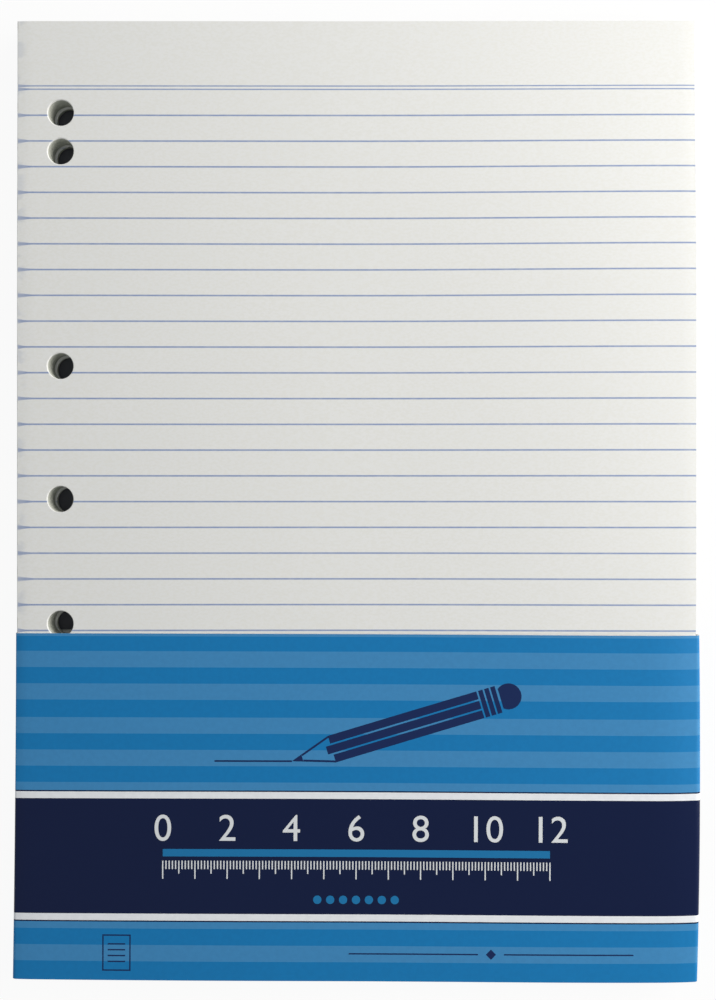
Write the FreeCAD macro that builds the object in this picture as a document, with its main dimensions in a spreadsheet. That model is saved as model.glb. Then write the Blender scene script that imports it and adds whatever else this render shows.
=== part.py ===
import FreeCAD, Part
import os

import Sketcher

# A4 ruled writing pad: drilled leaves on a greyboard, edge-glued along the left side and
# held by a printed paper belly band round the lower third. It lies on its back, +Z up,
# +X to the right of the page, +Y to its head. The origin is under the middle of its box.
SIZES = [
    # The sheet and the block
    ("page_width", "210"),
    ("page_length", "297"),
    ("leaf_count", "100"),
    ("leaf_thickness", "0.078"),
    ("board_thickness", "0.6"),
    ("glue_film", "0.25"),
    # The drilled holes: one row serves four-ring, three-ring and two-ring binders, and its
    # inner pair sits a little nearer the head than the rest
    ("hole_diameter", "8"),
    ("hole_margin", "13.2"),
    ("four_ring_pitch", "80"),
    ("three_ring_pitch", "108"),
    ("inner_pair_offset", "1.3"),
    # The belly band, and how far it stands off the block's edges from its head to its foot
    ("band_paper", "0.15"),
    ("band_length", "107.4"),
    ("band_overhang", "0.8"),
    ("left_slack_head", "0.35"),
    ("left_slack_middle", "0.65"),
    ("left_slack_foot", "1.2"),
    ("right_slack_head", "1.3"),
    ("right_slack_middle", "1.95"),
    ("right_slack_foot", "1.15"),
    # The band's glued lap behind the pad
    ("lap_width", "15"),
    ("lap_glue_thickness", "0.1"),
    ("lap_glue_inset", "2.5"),
]

doc = FreeCAD.newDocument("writing_pad")
sheet = doc.addObject("Spreadsheet::Sheet", "Sizes")
for row, (alias, number) in enumerate(SIZES, 1):
    sheet.set("A%d" % row, alias)
    sheet.set("B%d" % row, number)
    sheet.setAlias("B%d" % row, alias)
doc.recompute()


class Size:
    """A length worked out from the sheet: its value now, and the expression that keeps it true."""

    def __init__(self, value, text):
        self.value = value
        self.text = text

    def joined(self, sign, other, value):
        text = other.text if isinstance(other, Size) else str(other)
        return Size(value, "(%s %s %s)" % (self.text, sign, text))

    def __add__(self, other):
        return self.joined("+", other, self.value + other.value)

    def __sub__(self, other):
        return self.joined("-", other, self.value - other.value)

    def __mul__(self, other):
        factor = other.value if isinstance(other, Size) else other
        return self.joined("*", other, self.value * factor)

    def __truediv__(self, number):
        return self.joined("/", number, self.value / number)

    def __neg__(self):
        return Size(-self.value, "(0 - %s)" % self.text)


def size(alias):
    return Size(float(sheet.get(alias)), "Sizes." + alias)


def largest(*sizes):
    return Size(max(one.value for one in sizes), "max(%s)" % "; ".join(one.text for one in sizes))


def bind(thing, bindings):
    for name, length in bindings.items():
        thing.setExpression(name, length.text)


page_width = size("page_width")
page_length = size("page_length")
board_thickness = size("board_thickness")
glue_film = size("glue_film")
band_paper = size("band_paper")
band_length = size("band_length")
band_overhang = size("band_overhang")
lap_width = size("lap_width")
lap_glue_thickness = size("lap_glue_thickness")
lap_glue_inset = size("lap_glue_inset")
left_slacks = [size("left_slack_" + place) for place in ("head", "middle", "foot")]
right_slacks = [size("right_slack_" + place) for place in ("head", "middle", "foot")]

# Heights from the surface that the pad lies on: the band's outer flap, the glue in its lap,
# its inner flap, and on that the board, the leaves and the band's front panel
outer_flap_z = Size(0.0, "0")
inner_flap_z = band_paper + lap_glue_thickness
board_z = inner_flap_z + band_paper
leaves_z = board_z + board_thickness
leaves_thickness = size("leaf_count") * size("leaf_thickness")
block_top_z = leaves_z + leaves_thickness

# Places across and along: the box is centred with the band's slack and overhang counted
page_middle_x = (glue_film + largest(*left_slacks) - largest(*right_slacks)) / 2
page_left_x = page_middle_x - page_width / 2
page_right_x = page_middle_x + page_width / 2
block_left_x = page_left_x - glue_film
page_foot_y = (band_overhang - page_length) / 2
band_foot_y = page_foot_y - band_overhang
page_middle_y = page_foot_y + page_length / 2
lap_left_x = page_middle_x - lap_width / 2
lap_right_x = page_middle_x + lap_width / 2

hole_x = page_left_x + size("hole_margin")
hole_radius = size("hole_diameter") / 2
four_ring_pitch = size("four_ring_pitch")
three_ring_pitch = size("three_ring_pitch")
inner_pair_y = page_middle_y + size("inner_pair_offset")
holes_y = [page_middle_y]
for side in (1, -1):
    holes_y.append(inner_pair_y + four_ring_pitch * side / 2)
    holes_y.append(page_middle_y + three_ring_pitch * side)
    holes_y.append(page_middle_y + four_ring_pitch * side * 1.5)

START, END, CENTRE = 1, 2, 3
ORIGIN_POINT = (-1, 1)
HORIZONTAL_AXIS = -1
UP = FreeCAD.Vector(0, 0, 1)


def add_sketch(body, name, plane_role):
    sketch = body.newObject("Sketcher::SketchObject", name)
    plane = [face for face in body.Origin.OriginFeatures if face.Role == plane_role][0]
    sketch.AttachmentSupport = [(plane, "")]
    sketch.MapMode = "FlatFace"
    return sketch


def pin(sketch, direction, curve, point, length):
    """Hold one coordinate of a sketched point at a length from the origin."""
    if length is outer_flap_z:
        sketch.addConstraint(Sketcher.Constraint("PointOnObject", curve, point, HORIZONTAL_AXIS))
        return
    index = sketch.addConstraint(
        Sketcher.Constraint("Distance" + direction, *ORIGIN_POINT, curve, point, length.value)
    )
    sketch.setExpression("Constraints[%d]" % index, length.text)


def draw_outline(sketch, corners):
    """Draw a closed outline. A corner is (x, y), or (x, y, x of the centre) where an arc leaves it."""
    places = [FreeCAD.Vector(corner[0].value, corner[1].value, 0) for corner in corners]
    ends = []
    for index, corner in enumerate(corners):
        here = places[index]
        there = places[(index + 1) % len(places)]
        if len(corner) == 2:
            sketch.addGeometry(Part.LineSegment(here, there))
            ends.append((START, END))
            continue
        # The fold is a quarter turn, so its centre is level with the end that isn't over it
        across = corner[2].value
        level = there.y if abs(here.x - across) < abs(there.x - across) else here.y
        centre = FreeCAD.Vector(across, level, 0)
        turns_left = (here - centre).cross(there - centre).z > 0
        first, last = (here, there) if turns_left else (there, here)
        circle = Part.Circle(centre, UP, (first - centre).Length)
        sketch.addGeometry(Part.ArcOfCircle(circle, circle.parameter(first), circle.parameter(last)))
        ends.append((START, END) if turns_left else (END, START))
    for index in range(len(corners)):
        following = (index + 1) % len(corners)
        sketch.addConstraint(
            Sketcher.Constraint("Coincident", index, ends[index][1], following, ends[following][0])
        )
    for index, corner in enumerate(corners):
        pin(sketch, "X", index, ends[index][0], corner[0])
        pin(sketch, "Y", index, ends[index][0], corner[1])
        if len(corner) == 3:
            pin(sketch, "X", index, CENTRE, corner[2])


def draw_rectangle(sketch, left, right, low, high):
    draw_outline(sketch, [(left, low), (right, low), (right, high), (left, high)])


def drilled_sheet(name, thickness, height):
    """A rectangle of the page's size, drilled with the row of holes."""
    body = doc.addObject("PartDesign::Body", name)
    outline = add_sketch(body, name + "_outline", "XY_Plane")
    draw_rectangle(outline, page_left_x, page_right_x, page_foot_y, page_foot_y + page_length)
    pad = body.newObject("PartDesign::Pad", name + "_thickness")
    pad.Profile = outline
    bind(pad, {"Length": thickness})
    doc.recompute()
    undrilled_volume = pad.Shape.Volume

    row = add_sketch(body, name + "_hole_row", "XY_Plane")
    for index, hole_y in enumerate(holes_y):
        place = FreeCAD.Vector(hole_x.value, hole_y.value, 0)
        row.addGeometry(Part.Circle(place, UP, hole_radius.value))
        pin(row, "X", index, CENTRE, hole_x)
        pin(row, "Y", index, CENTRE, hole_y)
        radius = row.addConstraint(Sketcher.Constraint("Radius", index, hole_radius.value))
        row.setExpression("Constraints[%d]" % radius, hole_radius.text)
    holes = body.newObject("PartDesign::Pocket", name + "_holes")
    holes.Profile = row
    holes.Type = "ThroughAll"
    holes.Reversed = True
    body.Tip = holes
    bind(body, {"Placement.Base.z": height})
    doc.recompute()
    drilled_share = 1 - holes.Shape.Volume / undrilled_volume
    print("%s: %d holes take %.4f of its volume" % (name, len(holes_y), drilled_share))
    if drilled_share <= 0:
        raise ValueError(name + " isn't drilled")


def glue_layer(name, low, extent):
    """A plain layer of dried adhesive, from its lowest corner."""
    layer = doc.addObject("Part::Box", name)
    bind(layer, dict(zip(("Length", "Width", "Height"), extent)))
    bind(layer, {"Placement.Base." + axis: place for axis, place in zip("xyz", low)})
    return layer


def band_panel(body, name, left_x, right_x, low_z):
    """A flat stretch of the band, from its head to its foot."""
    outline = add_sketch(body, name + "_outline", "XZ_Plane")
    bind(outline, {"AttachmentOffset.Base.z": -(band_foot_y + band_length)})
    draw_rectangle(outline, left_x, right_x, low_z, low_z + band_paper)
    panel = body.newObject("PartDesign::Pad", name)
    panel.Profile = outline
    bind(panel, {"Length": band_length})


def band_fold(body, name, edge_x, outward, slacks, low_z):
    """The band's turn round one edge of the block, from the front panel down to a flap.

    It leaves each corner of the block as a quarter turn whose inner radius is the slack there.
    """
    high_z = block_top_z + band_paper
    sections = []
    for place, slack in enumerate(slacks):
        wall_x = edge_x + slack * outward
        outside_x = wall_x + band_paper * outward
        low_bend_z = low_z + band_paper + slack
        high_bend_z = block_top_z - slack
        section = add_sketch(body, "%s_section_%d" % (name, place + 1), "XZ_Plane")
        section_y = band_foot_y + band_length - band_length * place / (len(slacks) - 1)
        bind(section, {"AttachmentOffset.Base.z": -section_y})
        draw_outline(
            section,
            [
                (edge_x, low_z, edge_x),
                (outside_x, low_bend_z),
                (outside_x, high_bend_z, edge_x),
                (edge_x, high_z),
                (edge_x, block_top_z, edge_x),
                (wall_x, high_bend_z),
                (wall_x, low_bend_z, edge_x),
                (edge_x, low_z + band_paper),
            ],
        )
        sections.append(section)
    fold = body.newObject("PartDesign::AdditiveLoft", name)
    fold.Profile = sections[0]
    fold.Sections = sections[1:]


# The hundred leaves, drilled together
drilled_sheet("leaves", leaves_thickness, leaves_z)

# The greyboard behind them, drilled with them
drilled_sheet("backing_board", board_thickness, board_z)

# The padding adhesive brushed on the left edge, which holds every leaf to the board
glue_layer(
    "binding_glue",
    (block_left_x, page_foot_y, board_z),
    (glue_film, page_length, board_thickness + leaves_thickness),
)

# The belly band: one strip of paper folded round the block, slack down both sides, with the
# flap from its right side lapped under the board and over the flap from its left side
band = doc.addObject("PartDesign::Body", "belly_band")
band_fold(band, "left_fold", block_left_x, -1, left_slacks, outer_flap_z)
band_panel(band, "front_panel", block_left_x, page_right_x, block_top_z)
band_panel(band, "outer_flap", block_left_x, lap_right_x, outer_flap_z)
band_fold(band, "right_fold", page_right_x, 1, right_slacks, inner_flap_z)
band_panel(band, "inner_flap", lap_left_x, page_right_x, inner_flap_z)

# The adhesive in the band's lap, between its two flaps
glue_layer(
    "lap_glue",
    (lap_left_x + lap_glue_inset, band_foot_y + lap_glue_inset, band_paper),
    (lap_width - lap_glue_inset * 2, band_length - lap_glue_inset * 2, lap_glue_thickness),
)

doc.recompute()
for item in doc.Objects:
    if {"Invalid", "Error"} & set(item.State):
        raise ValueError(item.Label + " didn't build: " + str(item.State))

shapes = {}
for label in ("leaves", "backing_board", "binding_glue", "belly_band", "lap_glue"):
    shape = doc.getObjectsByLabel(label)[0].Shape
    if shape.isNull() or not shape.isValid() or len(shape.Solids) != 1:
        raise ValueError(label + " isn't one valid solid")
    shapes[label] = shape

os.makedirs("parts", exist_ok=True)
for label, shape in shapes.items():
    shape.exportStep("parts/" + label + ".step")
    box = shape.optimalBoundingBox()
    corners = (box.XMin, box.XMax, box.YMin, box.YMax, box.ZMin, box.ZMax)
    print(label, "%.1f mm3," % shape.Volume, "box", [round(corner, 3) for corner in corners])
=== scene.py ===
import math
import random

import bmesh
import bpy
from mathutils import Matrix, Vector, noise


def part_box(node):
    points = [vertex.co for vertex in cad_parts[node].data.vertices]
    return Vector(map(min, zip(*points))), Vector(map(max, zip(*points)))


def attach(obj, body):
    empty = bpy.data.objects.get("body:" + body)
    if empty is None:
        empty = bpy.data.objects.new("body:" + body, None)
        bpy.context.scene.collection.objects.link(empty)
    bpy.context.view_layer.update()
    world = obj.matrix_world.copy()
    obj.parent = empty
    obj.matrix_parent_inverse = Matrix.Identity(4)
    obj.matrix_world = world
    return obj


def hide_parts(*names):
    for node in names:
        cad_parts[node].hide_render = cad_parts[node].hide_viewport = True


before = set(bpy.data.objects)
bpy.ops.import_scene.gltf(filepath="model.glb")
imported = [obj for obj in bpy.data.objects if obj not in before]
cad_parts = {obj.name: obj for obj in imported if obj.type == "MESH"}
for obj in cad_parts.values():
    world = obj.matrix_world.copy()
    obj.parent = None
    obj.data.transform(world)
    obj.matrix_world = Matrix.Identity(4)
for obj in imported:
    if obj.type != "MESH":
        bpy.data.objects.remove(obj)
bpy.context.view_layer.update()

# The leaves
# A hundred A4 leaves of uncoated writing paper, knocked up, drilled in three lifts and padded.
# The paper has taken up a little moisture, so the block's long edges stand higher than its
# middle, the right one most.
MM = 0.001
TOUCH = 0.01 * MM
leaves_low, leaves_high = (Vector(corner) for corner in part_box("leaves"))
band_low, band_high = (Vector(corner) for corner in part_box("belly_band"))
LEAF_COUNT = 100
LIFT_STARTS = (0, 16, 50)
LIFT_SHIFTS = ((0.5 * MM, -0.45 * MM), (0.06 * MM, -0.03 * MM), (0.0, 0.0))
PAGE_MIDDLE = (leaves_low + leaves_high) / 2
HALF_PAGE_WIDTH = (leaves_high.x - leaves_low.x) / 2
BLOCK_THICKNESS = leaves_high.z - leaves_low.z
LEAF_THICKNESS = BLOCK_THICKNESS / LEAF_COUNT
LEAF_UNEVENNESS = 0.07 * MM
LIFT_UNEVENNESS = 0.12 * MM
LEAF_SHARE_OF_INSET = 0.3
GLUED_SHARE_OF_INSET = 0.5
KNIFE_WAVER = 0.05 * MM
WAVERS_PER_METRE = 60
WAVERS_PER_LEAF = 0.9
WIDE_CELL = 9 * MM
NARROW_CELL = 1.5 * MM

HOLE_RADIUS = 4 * MM
HOLE_X = leaves_low.x + 13.2 * MM
FOUR_RING_PITCH = 80 * MM
THREE_RING_PITCH = 108 * MM
INNER_PAIR_Y = PAGE_MIDDLE.y + 1.3 * MM
HOLE_CELL = THREE_RING_PITCH / 18
HOLE_SEGMENTS = 48
DRILL_FLARE = 0.22 * MM
FLARED_DEPTH = 0.4 * MM
DRILL_LEAN = 0.65 * MM
DRILL_JITTER = 0.02 * MM
UNDERCUT = 0.3 * MM
UNDERCUT_DEPTH = 1.2 * MM
WHITE_EDGED_LEAVES = 6

LEFT_EDGE_RISE = 0.6 * MM
RIGHT_EDGE_RISE = 2.4 * MM
RISE_GROWTH = 1.4
RISE_AT_HEAD = 0.15
RISE_FULL_BELOW_HEAD = 85 * MM
BAND_PRESS_START = 25 * MM
BAND_PRESS_LENGTH = 70 * MM
BAND_PRESS = 0.55
EDGE_ROLL = 0.12 * MM
EDGE_ROLL_WIDTH = 4.6 * MM

holes_y = [PAGE_MIDDLE.y]
for side in (1, -1):
    holes_y.append(INNER_PAIR_Y + side * FOUR_RING_PITCH / 2)
    holes_y.append(PAGE_MIDDLE.y + side * THREE_RING_PITCH)
    holes_y.append(PAGE_MIDDLE.y + side * FOUR_RING_PITCH * 1.5)
holes_y.sort()


def eased(share):
    """A share from 0 to 1, eased at both ends."""
    share = min(max(share, 0.0), 1.0)
    return share * share * (3 - 2 * share)


def page_rise(x, y):
    """How far the top leaf stands above the flat block there."""
    across = (x - PAGE_MIDDLE.x) / HALF_PAGE_WIDTH
    edge_rise = (RIGHT_EDGE_RISE if across > 0 else LEFT_EDGE_RISE) * eased(abs(across))
    roll_share = min(max(1 - HALF_PAGE_WIDTH * (1 - abs(across)) / EDGE_ROLL_WIDTH, 0.0), 1.0)
    from_head = eased((leaves_high.y - y) / RISE_FULL_BELOW_HEAD)
    under_band = eased((band_high.y + BAND_PRESS_START - y) / BAND_PRESS_LENGTH)
    rise = edge_rise * (RISE_AT_HEAD + (1 - RISE_AT_HEAD) * from_head) * (1 - BAND_PRESS * under_band)
    return rise - EDGE_ROLL * roll_share ** 2


def stack_rise(x, y, z):
    """How far a leaf stands above its place in the flat block. The rise grows up the stack."""
    height_share = max((z - leaves_low.z) / BLOCK_THICKNESS, 0.0)
    return page_rise(x, y) * height_share ** RISE_GROWTH


def knife_waver(along, leaf, side):
    """How far in the trimming knife strayed at a leaf. Each side has its own waver."""
    return KNIFE_WAVER * abs(noise.noise((along * WAVERS_PER_METRE, leaf * WAVERS_PER_LEAF, side)))


def cut_across(bm, places, direction):
    """Cut every face of the mesh at each place along a direction."""
    for place in places:
        everything = bm.verts[:] + bm.edges[:] + bm.faces[:]
        bmesh.ops.bisect_plane(
            bm, geom=everything, plane_co=direction * place, plane_no=direction, dist=TOUCH
        )


def spaced(low, high, spacing):
    """Even places between two ends, not counting the ends."""
    count = max(1, round((high - low) / spacing))
    return [low + (high - low) * step / count for step in range(1, count)]


def add_piece(bm, name, materials, body, node):
    """Turn a finished bmesh into a piece of the pad."""
    mesh = bpy.data.meshes.new(name)
    bm.to_mesh(mesh)
    bm.free()
    piece = bpy.data.objects.new(name, mesh)
    bpy.context.scene.collection.objects.link(piece)
    for material in materials:
        mesh.materials.append(material)
    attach(piece, body)
    if node:
        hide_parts(node)
    return piece


def colour(red, green, blue, alpha=1.0):
    """A colour as it is seen, 0 to 255, in the shader's own scale."""
    channels = [value / 255 for value in (red, green, blue)]
    return tuple(
        value / 12.92 if value <= 0.04045 else ((value + 0.055) / 1.055) ** 2.4 for value in channels
    ) + (alpha,)


MIX_SHARE, MIX_FIRST, MIX_SECOND = 0, 6, 7
MIX_RESULT = 2


class Finish:
    """A procedural finish, wired node by node on the pad's own coordinates."""

    def __init__(self, name, roughness, specular):
        self.material = bpy.data.materials.new(name)
        self.material.use_nodes = True
        self.tree = self.material.node_tree
        self.surface = self.tree.nodes["Principled BSDF"]
        self.surface.inputs["Roughness"].default_value = roughness
        self.surface.inputs["Specular IOR Level"].default_value = specular
        self.place = self.node("ShaderNodeTexCoord").outputs["Object"]
        axes = self.node("ShaderNodeSeparateXYZ", {"Vector": self.place}).outputs
        self.x, self.y, self.z = axes["X"], axes["Y"], axes["Z"]

    def node(self, kind, inputs=None, **settings):
        node = self.tree.nodes.new(kind)
        for name, value in settings.items():
            setattr(node, name, value)
        for name, value in (inputs or {}).items():
            if isinstance(value, bpy.types.NodeSocket):
                self.tree.links.new(value, node.inputs[name])
            else:
                node.inputs[name].default_value = value
        return node

    def math(self, operation, first, second=0.0, third=0.0):
        """One Math node's result."""
        node = self.node("ShaderNodeMath", {0: first, 1: second, 2: third}, operation=operation)
        return node.outputs["Value"]

    def fade(self, value, start, end):
        """1 up to start and 0 from end on, eased between. start may be the larger."""
        inputs = {"Value": value, "From Min": start, "From Max": end, "To Min": 1.0, "To Max": 0.0}
        return self.node("ShaderNodeMapRange", inputs, interpolation_type="SMOOTHSTEP").outputs["Result"]

    def grain(self, size, stretch=(1, 1, 1), detail=2.0):
        """Noise of a given grain size, longer along the axes whose stretch is above 1."""
        scale = [1 / (size * length) for length in stretch]
        spot = self.node("ShaderNodeVectorMath", {0: self.place, 1: scale}, operation="MULTIPLY")
        inputs = {"Vector": spot.outputs["Vector"], "Scale": 1.0, "Detail": detail}
        return self.node("ShaderNodeTexNoise", inputs).outputs["Fac"]

    def blend(self, share, first, second):
        """The first colour where the share is 0, and the second where it is 1."""
        inputs = {MIX_SHARE: share, MIX_FIRST: first, MIX_SECOND: second}
        return self.node("ShaderNodeMix", inputs, data_type="RGBA").outputs[MIX_RESULT]

    def wall_share(self, wall_end, level_start):
        """1 on an upright wall and 0 on a level face."""
        normal = self.node("ShaderNodeNewGeometry").outputs["Normal"]
        upward = self.node("ShaderNodeSeparateXYZ", {"Vector": normal}).outputs["Z"]
        return self.fade(self.math("ABSOLUTE", upward), wall_end, level_start)

    def relief(self, height, depth):
        """Bump of a real depth from a height between 0 and 1."""
        bump = self.node("ShaderNodeBump", {"Height": height, "Distance": depth, "Strength": 1.0})
        self.tree.links.new(bump.outputs["Normal"], self.surface.inputs["Normal"])

    def paint(self, shown):
        self.tree.links.new(shown, self.surface.inputs["Base Color"])
        return self.material


RULE_PITCH = 8 * MM
HEADER_RULE_Y = leaves_high.y - 20.15 * MM
HEADER_RULE_GAP = 1.05 * MM
FIRST_RULE_Y = HEADER_RULE_Y - HEADER_RULE_GAP - 8.1 * MM
RULE_WIDTH = 0.5 * MM
HEADER_RULE_SHARE = 0.8
FLARE_LENGTH = 4.2 * MM
FLARE_SPREAD = 0.42 * MM
PAPER_WHITE = colour(238, 238, 236)
RULE_INK = colour(147, 163, 198)
WICKED_INK = colour(147, 162, 194)
# The next two colours are painted shade on the block's walls: one between the leaves, one over the trimmed
# edges.
LEAF_GAP_SHADE = colour(150, 148, 140)
TRIMMED_EDGE_SHADE = colour(190, 189, 183)
TRIMMED_FROM_LEFT = (24 * MM, 20 * MM)
TRIMMED_FROM_END = (1 * MM, 3 * MM)


def to_nearest_rule(finish):
    """How far off the nearest feint rule is. Above the first there is none, and it is a metre off."""
    below_first = finish.math("SUBTRACT", FIRST_RULE_Y, finish.y)
    to_rule = finish.math("ABSOLUTE", finish.math("WRAP", below_first, RULE_PITCH / 2, -RULE_PITCH / 2))
    ruled = finish.fade(finish.math("MULTIPLY", below_first, -1.0), RULE_PITCH / 4, RULE_PITCH / 3)
    return finish.math("ADD", to_rule, finish.math("SUBTRACT", 1.0, ruled))


def ruled_paper():
    """White writing paper with its feint ruling and the ink that the padding glue has wicked, with painted
    shade on the block's walls.
    """
    finish = Finish("ruled_paper", roughness=0.82, specular=0.3)
    cloud = finish.grain(24 * MM, detail=3.0)
    fibre = finish.grain(0.7 * MM, stretch=(1.6, 1, 1), detail=4.0)
    paper = finish.blend(cloud, colour(235, 236, 234), PAPER_WHITE)
    paper = finish.blend(finish.fade(fibre, 0.35, 0.62), paper, colour(234, 234, 230))

    from_left = finish.math("SUBTRACT", finish.x, leaves_low.x)
    uneven = finish.grain(9 * MM, stretch=(1, 1, 6), detail=1.0)
    flare_length = finish.math("MULTIPLY", uneven, FLARE_LENGTH * 2)
    flare = finish.math("SUBTRACT", 1.0, finish.math("DIVIDE", from_left, flare_length))
    flare = finish.math("POWER", finish.math("MAXIMUM", flare, 0.0), 1.5)
    half_width = finish.math("MULTIPLY_ADD", flare, FLARE_SPREAD, RULE_WIDTH / 2)

    to_rule = to_nearest_rule(finish)
    for header_y in (HEADER_RULE_Y, HEADER_RULE_Y - HEADER_RULE_GAP):
        to_header = finish.math("ABSOLUTE", finish.math("SUBTRACT", finish.y, header_y))
        to_rule = finish.math("MINIMUM", to_rule, finish.math("DIVIDE", to_header, HEADER_RULE_SHARE))
    core = finish.math("MULTIPLY", half_width, finish.math("MULTIPLY_ADD", flare, -0.6, 0.9))
    fringe = finish.math("MULTIPLY", half_width, finish.math("MULTIPLY_ADD", flare, 0.6, 1.1))
    line = finish.fade(to_rule, core, fringe)
    ink_take = finish.math("MULTIPLY_ADD", finish.grain(2.5 * MM, detail=3.0), 0.5, 0.72)

    on_wall = finish.wall_share(0.6, 0.85)
    strength = finish.math("MULTIPLY_ADD", on_wall, -0.75, 1.0)
    strength = finish.math("SUBTRACT", strength, finish.math("MULTIPLY", flare, 0.25))
    line = finish.math("MULTIPLY", finish.math("MULTIPLY", line, ink_take), strength)
    ink = finish.blend(finish.math("MINIMUM", flare, 1.0), RULE_INK, WICKED_INK)
    ruled = finish.blend(line, paper, ink)

    blotch = finish.fade(finish.grain(5 * MM, stretch=(1, 1, 4), detail=2.0), 0.62, 0.48)
    smudge = finish.math("MULTIPLY", finish.fade(from_left, 0.2 * MM, 3.4 * MM), blotch)
    ruled = finish.blend(finish.math("MULTIPLY", smudge, 0.2), ruled, WICKED_INK)

    # Painted shade: fine dark lines between the leaves on the block's walls.
    between = finish.grain(0.22 * MM, stretch=(90, 90, 1), detail=4.0)
    gap_shade = finish.math("MULTIPLY", finish.fade(between, 0.36, 0.5), on_wall)
    # Painted shade: the trimmed walls, except within about 20 mm of the glued left edge, are painted greyer
    # than the paper.
    from_middle = finish.math("ABSOLUTE", finish.math("SUBTRACT", finish.y, PAGE_MIDDLE.y))
    full_end, clear_end = (leaves_high.y - PAGE_MIDDLE.y - depth for depth in TRIMMED_FROM_END)
    at_end = finish.fade(from_middle, full_end, clear_end)
    outside = finish.math("MAXIMUM", finish.fade(from_left, *TRIMMED_FROM_LEFT), at_end)
    trimmed_shade = finish.math("MULTIPLY", outside, on_wall)
    shown = finish.blend(finish.math("MULTIPLY", trimmed_shade, 0.9), ruled, TRIMMED_EDGE_SHADE)
    shown = finish.blend(gap_shade, shown, LEAF_GAP_SHADE)
    finish.relief(fibre, 0.006 * MM)
    return finish.paint(shown)


def drilled_paper():
    """The drill's wall: burnished leaf edges, painted grey as a painted shade for the dark inside of the
    holes.
    """
    finish = Finish("drilled_paper_edge", roughness=0.7, specular=0.3)
    streak = finish.grain(0.16 * MM, stretch=(12, 12, 1), detail=3.0)
    # Painted shade: both tones are greyer than the white paper edges, so the inside of the holes reads
    # dark.
    shown = finish.blend(streak, colour(152, 155, 145), colour(206, 208, 198))
    finish.relief(streak, 0.03 * MM)
    return finish.paint(shown)


bm = bmesh.new()
bmesh.ops.create_grid(bm, x_segments=1, y_segments=1, size=1)
for corner in bm.verts:
    corner.co.x = leaves_low.x if corner.co.x < 0 else leaves_high.x
    corner.co.y = leaves_low.y if corner.co.y < 0 else leaves_high.y
    corner.co.z = leaves_low.z
column_lines = [HOLE_X - HOLE_CELL, HOLE_X + HOLE_CELL, leaves_high.x - EDGE_ROLL_WIDTH]
column_lines += spaced(HOLE_X + HOLE_CELL, leaves_high.x - EDGE_ROLL_WIDTH, WIDE_CELL)
column_lines += spaced(leaves_high.x - EDGE_ROLL_WIDTH, leaves_high.x, NARROW_CELL)
column_lines += spaced(leaves_low.x, HOLE_X - HOLE_CELL, NARROW_CELL)
row_lines = []
previous = leaves_low.y
past_head_y = leaves_high.y + HOLE_CELL
for hole_y in holes_y + [past_head_y]:
    gap_end = hole_y - HOLE_CELL
    if gap_end - previous > MM:
        row_lines += spaced(previous, gap_end, WIDE_CELL)
    row_lines += [gap_end, hole_y + HOLE_CELL]
    previous = hole_y + HOLE_CELL
cut_across(bm, column_lines, Vector((1, 0, 0)))
cut_across(bm, row_lines, Vector((0, 1, 0)))
for hole_y in holes_y:
    centre = Vector((HOLE_X, hole_y, leaves_low.z))
    cell = min(bm.faces, key=lambda face: (face.calc_center_median() - centre).length)
    rim = list(cell.edges)
    bmesh.ops.delete(bm, geom=[cell], context="FACES_ONLY")
    circle = bmesh.ops.create_circle(
        bm, cap_ends=False, segments=HOLE_SEGMENTS, radius=HOLE_RADIUS, matrix=Matrix.Translation(centre)
    )
    rim += list({edge for vert in circle["verts"] for edge in vert.link_edges})
    bmesh.ops.triangle_fill(bm, edges=rim, use_beauty=True, use_dissolve=False)

stacked = bmesh.ops.extrude_face_region(bm, geom=bm.faces[:], use_keep_orig=True)
top_verts = [item for item in stacked["geom"] if isinstance(item, bmesh.types.BMVert)]
bmesh.ops.translate(bm, verts=top_verts, vec=(0, 0, BLOCK_THICKNESS))
uprights = [edge for edge in bm.edges if abs(edge.verts[0].co.z - edge.verts[1].co.z) > BLOCK_THICKNESS / 2]
bmesh.ops.subdivide_edges(bm, edges=uprights, cuts=LEAF_COUNT - 1)
bmesh.ops.recalc_face_normals(bm, faces=bm.faces[:])

# The second slot holds the drilled finish, a painted shade. Hole walls below the top leaves, except the
# ledge leaf, take it.
DRILLED_SHADE = 1
for face in bm.faces:
    spot = face.calc_center_median()
    on_wall = abs(face.normal.z) < 0.5
    in_hole = min((Vector((spot.x - HOLE_X, spot.y - place)).length for place in holes_y)) < HOLE_CELL
    face.smooth = in_hole or not on_wall
    leaf = int((spot.z - leaves_low.z) / LEAF_THICKNESS)
    if in_hole and on_wall and leaf < LEAF_COUNT - WHITE_EDGED_LEAVES and leaf != LIFT_STARTS[1] - 1:
        face.material_index = DRILLED_SHADE
for edge in bm.edges:
    edge.smooth = edge.calc_face_angle(0) < math.radians(40)

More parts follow.
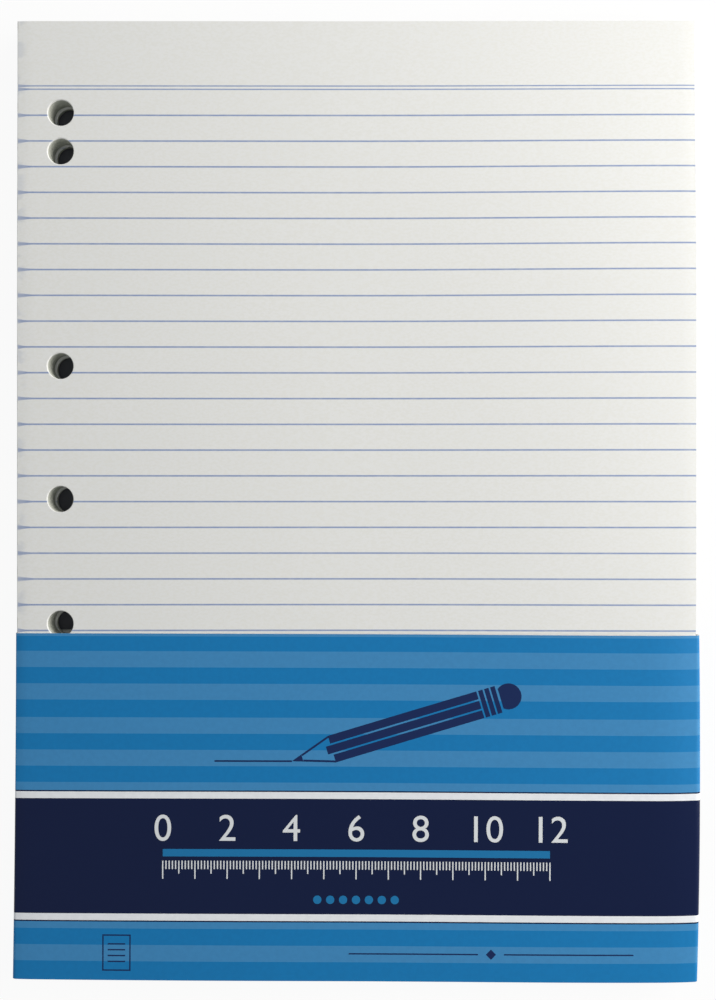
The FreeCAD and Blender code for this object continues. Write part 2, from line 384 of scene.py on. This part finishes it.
chance = random.Random(7)
leaf_insets = [[chance.random() * LEAF_UNEVENNESS for side in range(4)] for leaf in range(LEAF_COUNT + 1)]
lift_insets = [[chance.random() * LIFT_UNEVENNESS for side in range(4)] for lift in LIFT_SHIFTS]
drill_jitter = [chance.uniform(-DRILL_JITTER, DRILL_JITTER) for leaf in range(LEAF_COUNT + 1)]
LEFT, RIGHT, FOOT, HEAD = range(4)
for vert in bm.verts:
    x, y, z = vert.co
    leaf = round((z - leaves_low.z) / LEAF_THICKNESS)
    lift = sum(leaf >= start for start in LIFT_STARTS) - 1
    own_and_shared = zip(leaf_insets[leaf], lift_insets[lift])
    insets = [LEAF_SHARE_OF_INSET * own + shared for own, shared in own_and_shared]
    insets[LEFT] = leaf_insets[leaf][LEFT] * GLUED_SHARE_OF_INSET
    if leaf == LEAF_COUNT:
        insets = [0, 0, 0, 0]
    hole_y = min(holes_y, key=lambda place: abs(place - y))
    arm = Vector((x - HOLE_X, y - hole_y))
    if arm.length < HOLE_RADIUS + TOUCH:
        flare = DRILL_FLARE * max(0.0, 1 - (leaves_high.z - z) / FLARED_DEPTH) ** 2
        above_joint = (leaf - LIFT_STARTS[1]) * LEAF_THICKNESS
        if above_joint >= 0:
            flare += UNDERCUT * max(0.0, 1 - above_joint / UNDERCUT_DEPTH) ** 2
        arm *= (HOLE_RADIUS + drill_jitter[leaf] + flare) / arm.length
        lean = DRILL_LEAN * (leaves_high.z - z) / BLOCK_THICKNESS
        shift_x, shift_y = LIFT_SHIFTS[lift]
        vert.co.x = HOLE_X + arm.x + shift_x + lean
        vert.co.y = hole_y + arm.y + shift_y
    if abs(x - leaves_low.x) < TOUCH:
        vert.co.x += insets[LEFT]
    if abs(x - leaves_high.x) < TOUCH:
        vert.co.x -= insets[RIGHT] + knife_waver(y, leaf, 0)
    if abs(y - leaves_low.y) < TOUCH:
        vert.co.y += insets[FOOT] + knife_waver(x, leaf, 5)
    if abs(y - leaves_high.y) < TOUCH:
        vert.co.y -= insets[HEAD] + knife_waver(x, leaf, 9)
    vert.co.z += stack_rise(x, y, z)

add_piece(bm, "leaf_block", [ruled_paper(), drilled_paper()], "root", "leaves")

# The backing board
# Grey recycled board, pressed in layers and cut and drilled with the leaves. Its solid stays as
# it is, and only gets its finish here.
GREYBOARD = colour(150, 147, 138)


def greyboard():
    finish = Finish("greyboard", roughness=0.92, specular=0.2)
    pulp = finish.grain(1.1 * MM, stretch=(1, 2, 1), detail=5.0)
    shown = finish.blend(pulp, colour(128, 125, 116), colour(166, 163, 154))
    spot = finish.node("ShaderNodeTexVoronoi", {"Vector": finish.place, "Scale": 420.0})
    fleck = finish.fade(spot.outputs["Distance"], 0.08, 0.16)
    shown = finish.blend(finish.math("MULTIPLY", fleck, 0.55), shown, colour(92, 88, 80))
    layer = finish.grain(0.12 * MM, stretch=(60, 60, 1), detail=2.0)
    layered = finish.math("MULTIPLY", finish.fade(layer, 0.5, 0.35), finish.wall_share(0.5, 0.8))
    shown = finish.blend(layered, shown, GREYBOARD)
    finish.relief(pulp, 0.03 * MM)
    return finish.paint(shown)


def dress(node, material):
    """Give a CAD node that stays as it is its material."""
    slots = node.material_slots
    if slots:
        for slot in slots:
            slot.material = material
    else:
        node.data.materials.append(material)


dress(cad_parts["backing_board"], greyboard())

# The binding glue
# Padding adhesive brushed down the left edge of the clamped block. It dries as a thin white
# skin that keeps the print of the leaf edges, and it draws a little of the ruling's ink out.
glue_low, glue_high = (Vector(corner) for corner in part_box("binding_glue"))
GLUE_RIPPLE = 0.09 * MM
GLUE_EDGE_ROUND = 0.12 * MM
GLUE_CELL_LENGTH = 2 * MM
GLUE_CELL_HEIGHT = 0.7 * MM


def padding_glue():
    finish = Finish("padding_glue", roughness=0.42, specular=0.45)
    brushed = finish.grain(0.5 * MM, stretch=(1, 40, 1), detail=3.0)
    leaf_print = finish.grain(0.16 * MM, stretch=(60, 60, 1), detail=3.0)
    skin = finish.blend(brushed, colour(214, 215, 212), colour(233, 233, 229))
    skin = finish.blend(finish.fade(leaf_print, 0.38, 0.5), skin, colour(196, 196, 190))
    wick = finish.fade(to_nearest_rule(finish), 0.2 * MM, 1.1 * MM)
    patchy = finish.fade(finish.grain(1.4 * MM), 0.66, 0.36)
    wick = finish.math("MULTIPLY", finish.math("MULTIPLY", wick, patchy), 0.5)
    finish.relief(finish.math("ADD", brushed, leaf_print), 0.03 * MM)
    return finish.paint(finish.blend(wick, skin, WICKED_INK))


bm = bmesh.new()
bmesh.ops.create_cube(bm, size=1)
for corner in bm.verts:
    corner.co = [low if side < 0 else high for side, low, high in zip(corner.co, glue_low, glue_high)]
cut_across(bm, spaced(glue_low.y, glue_high.y, GLUE_CELL_LENGTH), Vector((0, 1, 0)))
cut_across(bm, spaced(glue_low.z, glue_high.z, GLUE_CELL_HEIGHT), Vector((0, 0, 1)))
skin_edges = [edge for edge in bm.edges if len({face.normal.to_tuple(1) for face in edge.link_faces}) == 2
              and all(vert.co.x < glue_low.x + TOUCH for vert in edge.verts)]
bmesh.ops.bevel(
    bm, geom=skin_edges, offset=GLUE_EDGE_ROUND, segments=2, profile=0.5, affect="EDGES", material=-1
)
for vert in bm.verts:
    x, y, z = vert.co
    if x < glue_low.x + TOUCH:
        vert.co.x += GLUE_RIPPLE * abs(noise.noise((y * 90, z * 500, 3)))
    vert.co.z += stack_rise(leaves_low.x, y, z)
for face in bm.faces:
    face.smooth = True
glue = add_piece(bm, "glue_skin", [padding_glue()], "root", "binding_glue")
glue.data.set_sharp_from_angle(angle=math.radians(50))

# The belly band
# One strip of coated paper, printed on its outside, wrapped round the foot of the pad and
# lapped behind it. It was folded by hand, so it is slack at both sides, bulges a little in
# front and gapes at its foot.
BAND_PAPER = 0.15 * MM
LAP_WIDTH = 15 * MM
lap_low, lap_high = (Vector(corner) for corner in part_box("lap_glue"))
LAP_MIDDLE_X = (lap_low.x + lap_high.x) / 2
OUTER_FLAP_Z = band_low.z + BAND_PAPER / 2
INNER_FLAP_Z = lap_high.z + BAND_PAPER / 2
FRONT_Z = band_high.z - BAND_PAPER / 2
LEFT_SLACKS = (0.35 * MM, 0.65 * MM, 1.2 * MM)
RIGHT_SLACKS = (1.3 * MM, 1.95 * MM, 1.15 * MM)
FOLD_SLACK = 1.0 * MM
FOLD_RADIUS = FOLD_SLACK + BAND_PAPER / 2
FOLD_STEPS = 6
FRONT_STEPS = 70
BACK_STEPS = 12
BAND_STEP = 3 * MM
FOOT_GAPE = 0.9 * MM
FOOT_GAPE_LENGTH = 40 * MM
BAND_SKEW = math.radians(-0.16)
BAND_BULGE = 0.9 * MM
BULGE_LOST_AT_FOOT = 0.6
BAND_BEND_WIDTH = 14 * MM
BAND_RIPPLE = 0.12 * MM


def band_share(y):
    """0 at the band's head and 1 at its foot."""
    return min(max((band_high.y - y) / (band_high.y - band_low.y), 0.0), 1.0)


def slack_at(slacks, y):
    """The slack through its three measured places, as a smooth curve."""
    share = band_share(y)
    head, middle, foot = slacks
    weights = ((1 - share) * (1 - 2 * share), 4 * share * (1 - share), share * (2 * share - 1))
    return sum(slack * weight for slack, weight in zip((head, middle, foot), weights))


def front_rise(x, y):
    """How far the front panel stands above the flat block: over the leaves, bulging and gaping."""
    across = min(abs(x - PAGE_MIDDLE.x) / HALF_PAGE_WIDTH, 1.0)
    gape = FOOT_GAPE * (1 - across ** 2) * eased(1 - (y - band_low.y) / FOOT_GAPE_LENGTH)
    ripple = BAND_RIPPLE * (1 - across ** 4) * (1 + noise.noise((x * 14, y * 22, 2)))
    to_the_right = eased((x - leaves_low.x) / (2 * HALF_PAGE_WIDTH))
    bulge = BAND_BULGE * (1 - BULGE_LOST_AT_FOOT * band_share(y)) * to_the_right
    bend = min(max(1 - (leaves_high.x - x) / BAND_BEND_WIDTH, 0.0), 1.0)
    return page_rise(x, y) + gape + ripple + bulge * (1 - bend ** 2)


STRIPE = 5.05 * MM
FIRST_DEEP_STRIPE = 0.92 * STRIPE
LAST_LIGHT_STRIPE = 0.53 * STRIPE
FOOT_LIGHT_STRIPE = 0.42 * STRIPE
HEAD_STRIP = 0.75 * MM
MATT_INK = 0.52
GLOSSY_INK = 0.3
DEEP_BLUE = colour(13, 123, 186, MATT_INK)
LIGHT_BLUE = colour(64, 139, 193, MATT_INK)
BAND_WHITE = colour(241, 244, 248, MATT_INK)
NAVY = colour(3, 21, 62, GLOSSY_INK)
stripe_pair = [(STRIPE, LIGHT_BLUE), (STRIPE, DEEP_BLUE)]
head_stripes = [(HEAD_STRIP, LIGHT_BLUE), (FIRST_DEEP_STRIPE, DEEP_BLUE)]
head_stripes += stripe_pair * 4 + [(LAST_LIGHT_STRIPE, LIGHT_BLUE)]
foot_stripes = [(FOOT_LIGHT_STRIPE, LIGHT_BLUE), (STRIPE, DEEP_BLUE)] + stripe_pair
PANEL_HEIGHT = 35.95 * MM
PANEL_HAIRLINE = 0.4 * MM
PANEL_WHITE_LINE = 2 * MM
panel_edge = [(PANEL_HAIRLINE, NAVY), (PANEL_WHITE_LINE, BAND_WHITE)]
printed = head_stripes + panel_edge + [(PANEL_HEIGHT, NAVY)] + panel_edge[::-1] + foot_stripes


def band_print():
    """Coated paper printed across in plain stripes. A stripe's alpha is the roughness of its ink."""
    finish = Finish("band_print", roughness=0.46, specular=0.25)
    below_head = finish.math("SUBTRACT", band_high.y, finish.y)
    below_head = finish.math("MULTIPLY_ADD", finish.x, math.sin(BAND_SKEW), below_head)
    share = finish.math("DIVIDE", below_head, band_high.y - band_low.y)
    ramp = finish.node("ShaderNodeValToRGB", {"Fac": share})
    stops = ramp.color_ramp
    stops.interpolation = "CONSTANT"
    start = 0.0
    for index, (width, ink) in enumerate(printed):
        stop = stops.elements[index] if index < len(stops.elements) else stops.elements.new(1.0)
        stop.position = start / (band_high.y - band_low.y)
        stop.color = ink
        start += width
    density = finish.fade(finish.grain(1.6 * MM, detail=4.0), 0.7, 0.3)
    uneven = finish.math("MULTIPLY", density, 0.05)
    shown = finish.blend(uneven, ramp.outputs["Color"], colour(8, 30, 70))
    fibre = finish.grain(0.5 * MM, stretch=(2, 1, 1), detail=3.0)
    finish.relief(fibre, 0.006 * MM)
    finish.tree.links.new(ramp.outputs["Alpha"], finish.surface.inputs["Roughness"])
    return finish.paint(shown)


def band_back():
    """The band's unprinted inside and its cut edges."""
    finish = Finish("band_white_side", roughness=0.75, specular=0.3)
    fibre = finish.grain(0.6 * MM, stretch=(2, 1, 1), detail=4.0)
    finish.relief(fibre, 0.01 * MM)
    return finish.paint(finish.blend(fibre, colour(216, 217, 216), colour(230, 230, 228)))


def run(bm, tip, step, steps):
    """Carry the strip's edge straight on."""
    for count in range(steps):
        tip = bmesh.ops.extrude_vert_indiv(bm, verts=tip)["verts"]
        bmesh.ops.translate(bm, verts=tip, vec=Vector(step) / steps)
    return tip


def turn(bm, tip, centre_x, centre_z):
    """Fold the strip's edge through a quarter turn."""
    spun = bmesh.ops.spin(
        bm, geom=tip, cent=(centre_x, band_low.y, centre_z), axis=(0, 1, 0),
        angle=math.pi / 2, steps=FOLD_STEPS, use_merge=False, use_duplicate=False,
    )
    return [item for item in spun["geom_last"] if isinstance(item, bmesh.types.BMVert)]


bm = bmesh.new()
left_x, right_x = glue_low.x, leaves_high.x
lap_right_x = LAP_MIDDLE_X + LAP_WIDTH / 2
lap_left_x = LAP_MIDDLE_X - LAP_WIDTH / 2
tip = bmesh.ops.create_vert(bm, co=(lap_right_x, band_low.y, OUTER_FLAP_Z))["vert"]
tip = run(bm, tip, (left_x - lap_right_x, 0, 0), BACK_STEPS)
tip = turn(bm, tip, left_x, OUTER_FLAP_Z + FOLD_RADIUS)
tip = run(bm, tip, (0, 0, FRONT_Z - OUTER_FLAP_Z - 2 * FOLD_RADIUS), FOLD_STEPS)
tip = turn(bm, tip, left_x, FRONT_Z - FOLD_RADIUS)
tip = run(bm, tip, (right_x - left_x, 0, 0), FRONT_STEPS)
tip = turn(bm, tip, right_x, FRONT_Z - FOLD_RADIUS)
tip = run(bm, tip, (0, 0, INNER_FLAP_Z - FRONT_Z + 2 * FOLD_RADIUS), FOLD_STEPS)
tip = turn(bm, tip, right_x, INNER_FLAP_Z + FOLD_RADIUS)
run(bm, tip, (lap_left_x - right_x, 0, 0), BACK_STEPS)

strip_edge = bm.edges[:]
lengths = spaced(band_low.y, band_high.y, BAND_STEP) + [band_high.y]
reached = band_low.y
for place in lengths:
    grown = bmesh.ops.extrude_edge_only(bm, edges=strip_edge)["geom"]
    strip_edge = [item for item in grown if isinstance(item, bmesh.types.BMEdge)]
    moved = [item for item in grown if isinstance(item, bmesh.types.BMVert)]
    bmesh.ops.translate(bm, verts=moved, vec=(0, place - reached, 0))
    reached = place
bmesh.ops.recalc_face_normals(bm, faces=bm.faces[:])
front_face = max(bm.faces, key=lambda face: face.calc_center_median().z)
if front_face.normal.z < 0:
    bmesh.ops.reverse_faces(bm, faces=bm.faces[:])
for vert in bm.verts:
    x, y, z = vert.co
    if x < left_x:
        vert.co.x = left_x - (left_x - x) * (slack_at(LEFT_SLACKS, y) + BAND_PAPER / 2) / FOLD_RADIUS
    if x > right_x:
        vert.co.x = right_x + (x - right_x) * (slack_at(RIGHT_SLACKS, y) + BAND_PAPER / 2) / FOLD_RADIUS
    height_share = min(max((z - INNER_FLAP_Z) / (FRONT_Z - INNER_FLAP_Z), 0.0), 1.0)
    vert.co.z += front_rise(x, y) * height_share ** 2
for face in bm.faces:
    face.smooth = True
for edge in bm.edges:
    edge.smooth = not edge.is_boundary
bmesh.ops.rotate(bm, verts=bm.verts[:], cent=(0, band_high.y, 0), matrix=Matrix.Rotation(BAND_SKEW, 3, "Z"))
band = add_piece(bm, "band_sleeve", [band_print(), band_back()], "root", "belly_band")
thickness = band.modifiers.new("paper", "SOLIDIFY")
thickness.thickness = BAND_PAPER
thickness.offset = 0
thickness.material_offset = 1
thickness.material_offset_rim = 1

# The print on the band
# Plain printed shapes: on the navy panel a centimetre scale with its blue bar and a row of dots,
# above it a pencil at the end of the line that it draws, and below it a small ruled sheet and a rule.
INK_LAYER = 0.02 * MM
INK_STANDOFF = 0.03 * MM
PANEL_TOP_Y = band_high.y - sum(width for width, ink in head_stripes + panel_edge)
PRINT_MIDDLE_X = PAGE_MIDDLE.x + 0.2 * MM
WHITE_INK, BLUE_INK, NAVY_INK = range(3)
SCALE_MILLIMETRES = 120
SCALE_LENGTH = SCALE_MILLIMETRES * MM
SCALE_START_X = PRINT_MIDDLE_X - SCALE_LENGTH / 2
SCALE_BAR_TOP = PANEL_TOP_Y - 16.0 * MM
SCALE_BAR_HEIGHT = 2.3 * MM
TICK_TOP = SCALE_BAR_TOP - SCALE_BAR_HEIGHT - 1.3 * MM
TICK_WIDTH = 0.38 * MM
TICK_HEIGHTS = {10: 5.6 * MM, 5: 4.0 * MM, 1: 2.6 * MM}
NUMERAL_BASE = SCALE_BAR_TOP + 2.6 * MM
NUMERAL_HEIGHT = 8.4 * MM
NUMERAL_SHARE_OF_SIZE = 0.72
DOT_COUNT = 7
DOT_RADIUS = 1.3 * MM
DOT_SPACING = 4 * MM
DOT_Y = PANEL_TOP_Y - 31.5 * MM
PIECE_LENGTH = 5 * MM


def flat_ink(name, shade):
    finish = Finish(name, roughness=0.46, specular=0.25)
    density = finish.grain(1.2 * MM, detail=3.0)
    dimmer = tuple(channel * 0.95 for channel in shade[:3]) + (1.0,)
    finish.relief(density, 0.004 * MM)
    return finish.paint(finish.blend(density, dimmer, shade))


def bar(bm, centre_x, centre_y, width, height, ink, lean=0.0):
    """One plain printed bar."""
    place = Matrix.Translation((centre_x, centre_y, 0)) @ Matrix.Rotation(lean, 4, "Z")
    size = Matrix.Diagonal((width / 2, height / 2, 1, 1))
    made = bmesh.ops.create_grid(bm, x_segments=1, y_segments=1, size=1, matrix=place @ size)
    for face in {face for vert in made["verts"] for face in vert.link_faces}:
        face.material_index = ink
    return made["verts"]


def dot(bm, centre_x, centre_y, radius, ink, segments=20):
    """One plain printed dot, or a triangle with three segments."""
    place = Matrix.Translation((centre_x, centre_y, 0))
    made = bmesh.ops.create_circle(bm, cap_ends=True, segments=segments, radius=radius, matrix=place)
    for face in {face for vert in made["verts"] for face in vert.link_faces}:
        face.material_index = ink
    return made["verts"]


def numeral(bm, number, centre_x, base_y, height, ink):
    """A plain numeral of the scale."""
    words = bpy.data.curves.new("scale_numeral", "FONT")
    words.body = str(number)
    words.size = 1.0
    words.align_x = "CENTER"
    holder = bpy.data.objects.new("scale_numeral", words)
    bpy.context.scene.collection.objects.link(holder)
    bpy.context.view_layer.update()
    shape = bpy.data.meshes.new_from_object(holder.evaluated_get(bpy.context.evaluated_depsgraph_get()))
    known = set(bm.faces)
    size = Matrix.Scale(height / NUMERAL_SHARE_OF_SIZE, 4)
    shape.transform(Matrix.Translation((centre_x, base_y, 0)) @ size)
    bm.from_mesh(shape)
    for face in set(bm.faces) - known:
        face.material_index = ink
    bpy.data.objects.remove(holder)
    bpy.data.curves.remove(words)
    bpy.data.meshes.remove(shape)


bm = bmesh.new()
bar(bm, PRINT_MIDDLE_X, SCALE_BAR_TOP - SCALE_BAR_HEIGHT / 2, SCALE_LENGTH, SCALE_BAR_HEIGHT, BLUE_INK)
for tick in range(SCALE_MILLIMETRES + 1):
    tick_height = next(height for step, height in TICK_HEIGHTS.items() if tick % step == 0)
    bar(bm, SCALE_START_X + tick * MM, TICK_TOP - tick_height / 2, TICK_WIDTH, tick_height, WHITE_INK)
for number in range(0, SCALE_MILLIMETRES // 10 + 1, 2):
    numeral(bm, number, SCALE_START_X + number * 10 * MM, NUMERAL_BASE, NUMERAL_HEIGHT, WHITE_INK)
for step in range(DOT_COUNT):
    dot(bm, PRINT_MIDDLE_X + (step - (DOT_COUNT - 1) / 2) * DOT_SPACING, DOT_Y, DOT_RADIUS, BLUE_INK)

PENCIL_HALF = 4.3 * MM
LEAD_LENGTH = 3.4 * MM
CONE_LENGTH = 13 * MM
BODY_LENGTH = 48 * MM
FACET_GAP = 0.55 * MM
FACET_STEP = 1.6 * MM
RING_WIDTH = 1.4 * MM
RING_SPACING = 1.95 * MM
ERASER_FROM_BODY = 6 * MM
ERASER_CENTRE = 2.5 * MM
ERASER_RADIUS = 0.94 * PENCIL_HALF
CONE_OVERLAP = 0.1 * MM
STROKE = 0.6 * MM
DRAWN_STROKE = 0.5 * MM
PENCIL_TILT = math.radians(17)
PENCIL_TIP_X = PRINT_MIDDLE_X - 20 * MM
DRAWN_LINE_Y = band_high.y - 39.5 * MM
DRAWN_LINE_X = PRINT_MIDDLE_X - 44 * MM

pencil = dot(bm, 0, 0, LEAD_LENGTH * 2 / 3, NAVY_INK, segments=3)
lead_half = PENCIL_HALF * LEAD_LENGTH / CONE_LENGTH
bmesh.ops.rotate(bm, verts=pencil, cent=(0, 0, 0), matrix=Matrix.Rotation(math.pi / 2, 3, "Z"))
bmesh.ops.scale(bm, verts=pencil, vec=(1, lead_half / (LEAD_LENGTH / math.sqrt(3)), 1))
bmesh.ops.translate(bm, verts=pencil, vec=(LEAD_LENGTH * 2 / 3, 0, 0))
cone_slope = math.atan2(PENCIL_HALF, CONE_LENGTH)
cone_stroke = (CONE_LENGTH - LEAD_LENGTH) / math.cos(cone_slope)
for edge in (-1, 1):
    middle = (LEAD_LENGTH + CONE_LENGTH) / 2 + CONE_OVERLAP
    height = edge * (middle / CONE_LENGTH * PENCIL_HALF - STROKE / 2)
    pencil += bar(bm, middle, height, cone_stroke, STROKE, NAVY_INK, edge * cone_slope)
facet_height = (2 * PENCIL_HALF - 2 * FACET_GAP) / 3
for facet in (-1, 0, 1):
    facet_length = BODY_LENGTH + (1 - abs(facet)) * FACET_STEP
    facet_x = CONE_LENGTH + BODY_LENGTH - facet_length / 2
    pencil += bar(bm, facet_x, facet * (facet_height + FACET_GAP), facet_length, facet_height, NAVY_INK)
body_end = CONE_LENGTH + BODY_LENGTH + FACET_GAP
for ring in range(3):
    ring_x = body_end + RING_WIDTH / 2 + ring * RING_SPACING
    pencil += bar(bm, ring_x, 0, RING_WIDTH, 2 * PENCIL_HALF, NAVY_INK)
eraser_x = body_end + ERASER_FROM_BODY
eraser = dot(bm, eraser_x + ERASER_CENTRE, 0, ERASER_RADIUS, NAVY_INK, segments=28)
for vert in eraser:
    vert.co.x = max(vert.co.x, eraser_x)
pencil += eraser
bmesh.ops.rotate(bm, verts=pencil, cent=(0, 0, 0), matrix=Matrix.Rotation(PENCIL_TILT, 3, "Z"))
bmesh.ops.translate(bm, verts=pencil, vec=(PENCIL_TIP_X, DRAWN_LINE_Y, 0))
drawn_middle_x = (DRAWN_LINE_X + PENCIL_TIP_X) / 2
bar(bm, drawn_middle_x, DRAWN_LINE_Y, PENCIL_TIP_X - DRAWN_LINE_X, DRAWN_STROKE, NAVY_INK)

FOOT_PRINT_Y = band_low.y + 8.5 * MM
SMALL_SHEET_X = PAGE_MIDDLE.x - 74 * MM
SMALL_SHEET_WIDTH = 8.8 * MM
SMALL_SHEET_HEIGHT = 11.2 * MM
SMALL_RULE_LENGTH = 5.4 * MM
SMALL_RULE_PITCH = 1.8 * MM
FOOT_RULE_X = PAGE_MIDDLE.x + 42 * MM
FOOT_RULE_LENGTH = 40 * MM
FOOT_RULE_REACH = 24 * MM
DIAMOND = 2.2 * MM
FINE_LINE = 0.4 * MM
for side in (-1, 1):
    upright_x = SMALL_SHEET_X + side * (SMALL_SHEET_WIDTH - FINE_LINE) / 2
    level_y = FOOT_PRINT_Y + side * (SMALL_SHEET_HEIGHT - FINE_LINE) / 2
    bar(bm, upright_x, FOOT_PRINT_Y, FINE_LINE, SMALL_SHEET_HEIGHT, NAVY_INK)
    bar(bm, SMALL_SHEET_X, level_y, SMALL_SHEET_WIDTH - 2 * FINE_LINE, FINE_LINE, NAVY_INK)
    bar(bm, FOOT_RULE_X + side * FOOT_RULE_REACH, FOOT_PRINT_Y, FOOT_RULE_LENGTH, FINE_LINE, NAVY_INK)
for rule in range(4):
    rule_y = FOOT_PRINT_Y + (1.5 - rule) * SMALL_RULE_PITCH
    bar(bm, SMALL_SHEET_X, rule_y, SMALL_RULE_LENGTH, FINE_LINE, NAVY_INK)
bar(bm, FOOT_RULE_X, FOOT_PRINT_Y, DIAMOND, DIAMOND, NAVY_INK, math.radians(45))

cut_across(bm, spaced(leaves_low.x, leaves_high.x, PIECE_LENGTH), Vector((1, 0, 0)))
for face in bm.faces:
    face.smooth = False
for vert in bm.verts:
    vert.co.z = FRONT_Z + BAND_PAPER / 2 + INK_STANDOFF + front_rise(vert.co.x, vert.co.y)
bmesh.ops.recalc_face_normals(bm, faces=bm.faces[:])
for face in bm.faces:
    if face.normal.z < 0:
        face.normal_flip()
bmesh.ops.rotate(bm, verts=bm.verts[:], cent=(0, band_high.y, 0), matrix=Matrix.Rotation(BAND_SKEW, 3, "Z"))
inks = [
    flat_ink("white_print", colour(228, 232, 235)),
    flat_ink("blue_print", colour(24, 119, 175)),
    flat_ink("navy_print", colour(14, 38, 88)),
]
band_shapes = add_piece(bm, "band_printed_shapes", inks, "root", None)
layer = band_shapes.modifiers.new("ink", "SOLIDIFY")
layer.thickness = INK_LAYER
layer.offset = -1

# The lap glue
# A strip of clear adhesive between the band's two flaps, behind the pad. It was run along the
# inner flap, and the outer one was pressed down on it.


def lap_adhesive():
    finish = Finish("lap_adhesive", roughness=0.25, specular=0.5)
    cloud = finish.grain(3 * MM, detail=3.0)
    finish.relief(cloud, 0.01 * MM)
    return finish.paint(finish.blend(cloud, colour(206, 196, 160), colour(222, 214, 184)))


dress(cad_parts["lap_glue"], lap_adhesive())

# The floor, the light and the camera
# A white sheet under the pad, a large soft lamp up and to the right of it, a pale room, and a
# camera straight above the middle of the page.
FLOOR_SIZE = 3.0
FLOOR_CLEARANCE = 0.02 * MM
CAMERA_HEIGHT = 0.33
FRAMED_LENGTH = 310.8 * MM
FILM_LENGTH = 36.0
CAMERA_X = PAGE_MIDDLE.x + 0.6 * MM
CAMERA_Y = PAGE_MIDDLE.y - 0.3 * MM
KEY_PLACE = Vector((0.59, 0.46, 0.28))
KEY_WIDTH = 0.3
KEY_LENGTH = 1.2
KEY_POWER = 8.8
KEY_COLOUR = (1.0, 0.975, 0.932)
ROOM_LIGHT = 0.435
ROOM_COLOUR = (0.96, 0.98, 1.0)
FOOTPRINT_MARGIN = 2 * MM
SHADOW_SHARE = 0.08
SHADOW_FULL_TO = 0.3
SHADOW_GONE_BY = 1.2

bm = bmesh.new()
bmesh.ops.create_grid(
    bm, x_segments=1, y_segments=1, size=FLOOR_SIZE, matrix=Matrix.Translation((0, 0, -FLOOR_CLEARANCE))
)
floor_mesh = bpy.data.meshes.new("floor")
bm.to_mesh(floor_mesh)
bm.free()
floor = bpy.data.objects.new("floor", floor_mesh)
bpy.context.scene.collection.objects.link(floor)


def seen_directly(finish):
    """1 where the camera, a mirror or clear glass looks straight at a surface."""
    path = finish.node("ShaderNodeLightPath").outputs
    seen = finish.math("MAXIMUM", path["Is Camera Ray"], path["Is Glossy Ray"])
    return finish.math("MAXIMUM", seen, path["Is Transmission Ray"])


def white_sheet():
    """White where it shows, with a soft shadow kept, and painted dark in the pad's own footprint as a
    painted shade under the pad.
    """
    finish = Finish("floor_white", roughness=0.9, specular=0.0)
    half_width = HALF_PAGE_WIDTH - FOOTPRINT_MARGIN
    half_length = (leaves_high.y - leaves_low.y) / 2 - FOOTPRINT_MARGIN
    beyond_x = finish.math("SUBTRACT", finish.math("ABSOLUTE", finish.x), half_width)
    beyond_y = finish.math("SUBTRACT", finish.math("ABSOLUTE", finish.y), half_length)
    outside = finish.math("GREATER_THAN", finish.math("MAXIMUM", beyond_x, beyond_y), 0.0)
    # Painted shade: inside the pad's footprint the floor is dark grey, and it shows through the holes.
    finish.paint(finish.blend(outside, colour(96, 97, 104), colour(244, 244, 243)))
    glow = finish.node("ShaderNodeEmission", {"Color": (1, 1, 1, 1), "Strength": 1.0})
    from_pad = finish.node("ShaderNodeVectorMath", {0: finish.place}, operation="LENGTH").outputs["Value"]
    near = finish.fade(from_pad, SHADOW_FULL_TO, SHADOW_GONE_BY)
    glow_share = finish.math("MULTIPLY_ADD", near, -SHADOW_SHARE, 1.0)
    share = finish.math("MULTIPLY", finish.math("MULTIPLY", seen_directly(finish), outside), glow_share)
    mixed = finish.node("ShaderNodeMixShader", {0: share})
    finish.tree.links.new(finish.surface.outputs["BSDF"], mixed.inputs[1])
    finish.tree.links.new(glow.outputs["Emission"], mixed.inputs[2])
    finish.tree.links.new(mixed.outputs["Shader"], finish.tree.nodes["Material Output"].inputs["Surface"])
    return finish.material


floor_mesh.materials.append(white_sheet())

world = bpy.data.worlds.new("pale_room")
bpy.context.scene.world = world
world.use_nodes = True
room = world.node_tree
path = room.nodes.new("ShaderNodeLightPath")
shade = room.nodes.new("ShaderNodeMix")
shade.data_type = "RGBA"
shade.inputs[MIX_FIRST].default_value = tuple(channel * ROOM_LIGHT for channel in ROOM_COLOUR) + (1.0,)
shade.inputs[MIX_SECOND].default_value = (1.0, 1.0, 1.0, 1.0)
room.links.new(path.outputs["Is Camera Ray"], shade.inputs[MIX_SHARE])
room.links.new(shade.outputs[MIX_RESULT], room.nodes["Background"].inputs["Color"])

lamp = bpy.data.lights.new("key_lamp", "AREA")
lamp.shape = "RECTANGLE"
lamp.size = KEY_WIDTH
lamp.size_y = KEY_LENGTH
lamp.energy = KEY_POWER
lamp.color = KEY_COLOUR
key = bpy.data.objects.new("key_lamp", lamp)
key.location = KEY_PLACE
key.rotation_euler = (0, math.atan2(KEY_PLACE.x, KEY_PLACE.z), 0)
bpy.context.scene.collection.objects.link(key)

lens = bpy.data.cameras.new("camera")
lens.sensor_width = FILM_LENGTH
lens.lens = FILM_LENGTH * CAMERA_HEIGHT / FRAMED_LENGTH
lens.clip_start = 0.01
camera = bpy.data.objects.new("camera", lens)
camera.location = (CAMERA_X, CAMERA_Y, leaves_high.z + CAMERA_HEIGHT)
bpy.context.scene.collection.objects.link(camera)
bpy.context.scene.camera = camera
bpy.context.scene.view_settings.view_transform = "Standard"
